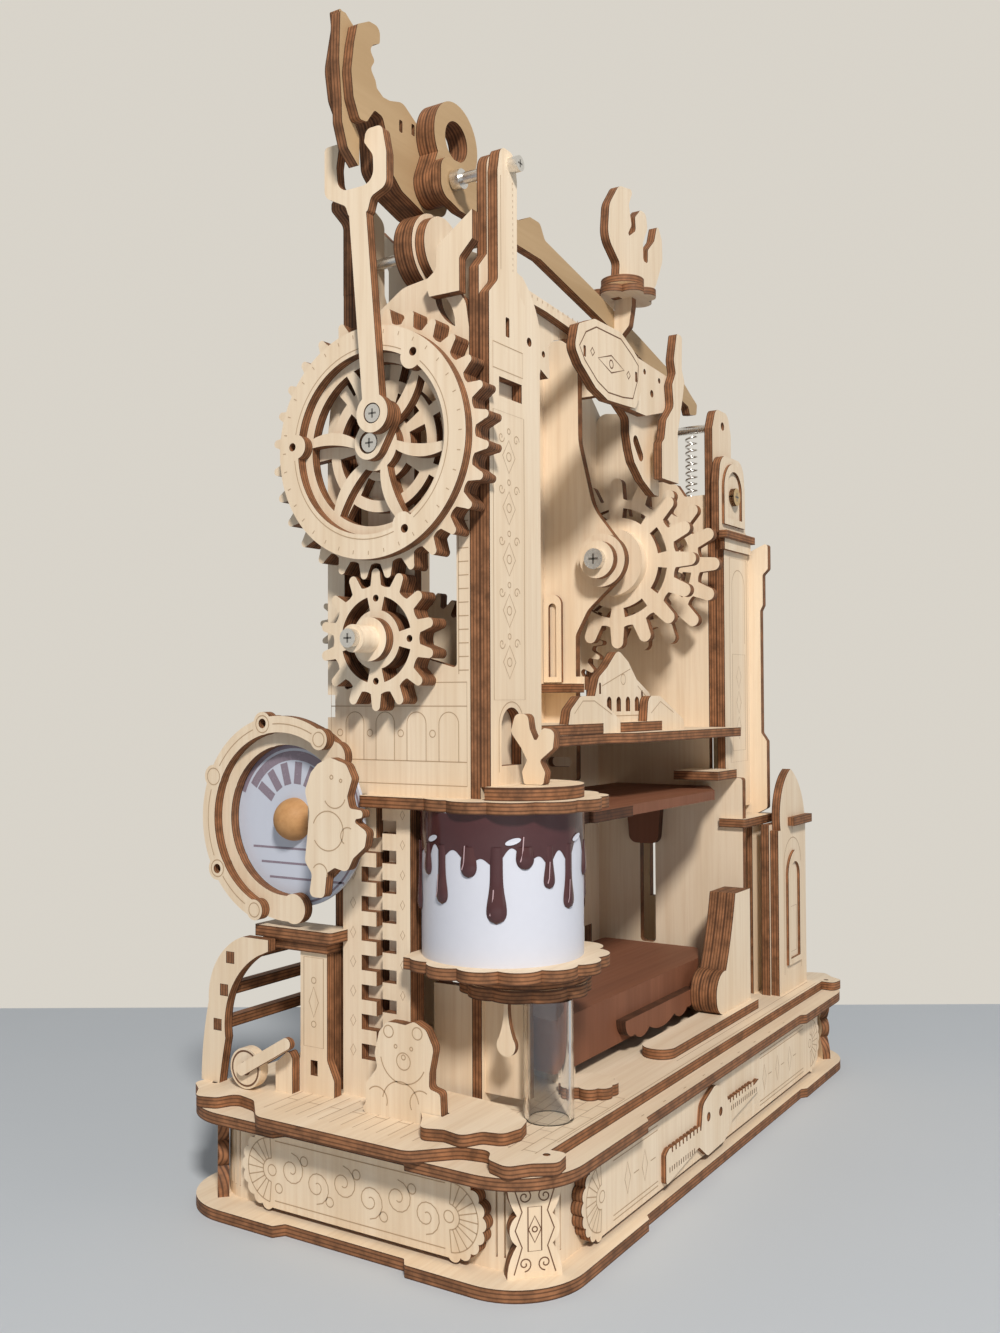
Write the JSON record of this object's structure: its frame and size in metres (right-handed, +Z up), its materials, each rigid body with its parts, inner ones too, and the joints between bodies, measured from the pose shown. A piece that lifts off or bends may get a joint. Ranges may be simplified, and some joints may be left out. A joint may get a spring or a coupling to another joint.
{
  "type": "wooden printing press model",
  "caption": "Plywood model of an upright printing press: wheel, pinion, con rod and lever on the left tower, then platen, ink tray, finger gears, ink pot and letter rack on a boxed base.",
  "frame": {"origin": "Centre of the base's underside, on the table.", "axes": "+Z up along the press, +X along the long side towards the right tower, front of the press is -Y."},
  "size_m": [0.236, 0.1167, 0.3084],
  "materials": {
    "ply": "bare laser-cut plywood, light face and scorched edges",
    "brown_ply": "dark brown printed plywood",
    "steel": "plain bright steel",
    "clear_plastic": "clear",
    "clear_film": "grey-blue printed film",
    "printed_sleeve": "white sleeve with dark drips"
  },
  "bodies": {
    "frame": {"base_bottom_plate": "ply", "deck_lower": "ply", "deck_upper": "ply", "base_walls": "ply", "base_ornaments": "ply", "deck_ornaments": "ply", "animal_figures": "ply", "left_outer_wall": "ply", "left_inner_wall": "ply", "left_rack_wall": "ply", "gallery_board": "ply", "left_front_post": "ply", "left_post_overlay": "ply", "left_rear_post": "ply", "left_brace": "ply", "pivot_pins": "steel", "window_ring": "ply", "letter_rack_frame": "ply", "letter_rack_shelves": "ply", "brayer_handle": "ply", "pedestal_panels": "ply", "ink_tube": "clear_plastic", "cup_stand_discs": "ply", "cup_saucer": "ply", "ink_cup": "printed_sleeve", "press_shelf": "ply", "shelf_buildings": "ply", "tray_rails": "ply", "scroll_bracket": "ply", "back_panel": "ply", "middle_plate": "ply", "right_wall": "ply", "right_outer_wall": "ply", "right_front_post": "ply", "right_post_overlay": "ply", "right_arch_panel": "ply", "facade_arch": "ply", "sign_plate": "ply", "spire_pilaster": "ply", "return_spring": "steel"},
    "main_wheel": {"wheel_gears": "ply", "wheel_crank": "ply", "wheel_shaft": "steel"},
    "drive_pinion": {"pinion_gears": "ply", "pinion_shaft": "steel"},
    "cross_shaft_body": {"cross_shaft": "steel", "cross_gears": "ply"},
    "gear_shaft_body": {"finger_gears": "ply", "gear_shaft": "steel", "hand_crank": "ply"},
    "crank_knob_body": {"crank_knob": "brown_ply"},
    "con_rod_body": {"con_rod": "ply"},
    "lever_body": {"lever_plies": "ply", "lever_beam": "ply", "wrench_ornament": "ply"},
    "platen_body": {"platen": "brown_ply", "lift_strap": "ply"},
    "ink_tray_body": {"ink_tray": "brown_ply"},
    "dial_body": {"window_dial": "clear_film"},
    "roller_body": {"brayer_roller": "ply"}
  },
  "joints": [
    {"name": "wheel_turn", "type": "hinge", "parent": "frame", "child": "main_wheel", "pos_m": [-0.0965, -0.0005, 0.2], "axis": [1, 0, 0], "continuous": true},
    {"name": "pinion_turn", "type": "hinge", "parent": "frame", "child": "drive_pinion", "pos_m": [-0.0965, -0.0005, 0.15], "axis": [1, 0, 0], "continuous": true},
    {"name": "cross_turn", "type": "hinge", "parent": "frame", "child": "cross_shaft_body", "pos_m": [-0.02, 0.024, 0.156], "axis": [1, 0, 0], "continuous": true},
    {"name": "gear_shaft_turn", "type": "hinge", "parent": "frame", "child": "gear_shaft_body", "pos_m": [0.04, -0.006, 0.1803], "axis": [1, 0, 0], "continuous": true},
    {"name": "knob_spin", "type": "hinge", "parent": "gear_shaft_body", "child": "crank_knob_body", "pos_m": [0.095, -0.006, 0.1543], "axis": [1, 0, 0], "continuous": true},
    {"name": "rod_swing", "type": "hinge", "parent": "main_wheel", "child": "con_rod_body", "pos_m": [-0.1044, -0.0043, 0.2064], "axis": [1, 0, 0], "continuous": true},
    {"name": "lever_rock", "type": "hinge", "parent": "frame", "child": "lever_body", "pos_m": [-0.0823, 0, 0.2712], "axis": [0, -1, 0], "range_deg": [0, 8]},
    {"name": "platen_press", "type": "slide", "parent": "frame", "child": "platen_body", "axis": [0, 0, 1], "range_m": [-0.03, 0], "stiffness_N_per_m": 25, "springref_m": 0.012, "deforming": ["return_spring"]},
    {"name": "tray_slide", "type": "slide", "parent": "frame", "child": "ink_tray_body", "axis": [0, 1, 0], "range_m": [0, 0.04]},
    {"name": "dial_turn", "type": "hinge", "parent": "frame", "child": "dial_body", "pos_m": [-0.0946, 0.0305, 0.1025], "axis": [1, 0, 0], "continuous": true},
    {"name": "roller_turn", "type": "hinge", "parent": "frame", "child": "roller_body", "pos_m": [-0.1024, 0.0402, 0.0364], "axis": [1, 0, 0], "continuous": true}
  ],
  "couplings": [
    {"joint": "pinion_turn", "follows": "wheel_turn", "ratio": -2},
    {"joint": "cross_turn", "follows": "wheel_turn", "ratio": 2},
    {"joint": "gear_shaft_turn", "follows": "wheel_turn", "ratio": -2},
    {"joint": "rod_swing", "follows": "wheel_turn", "ratio": -1}
  ]
}
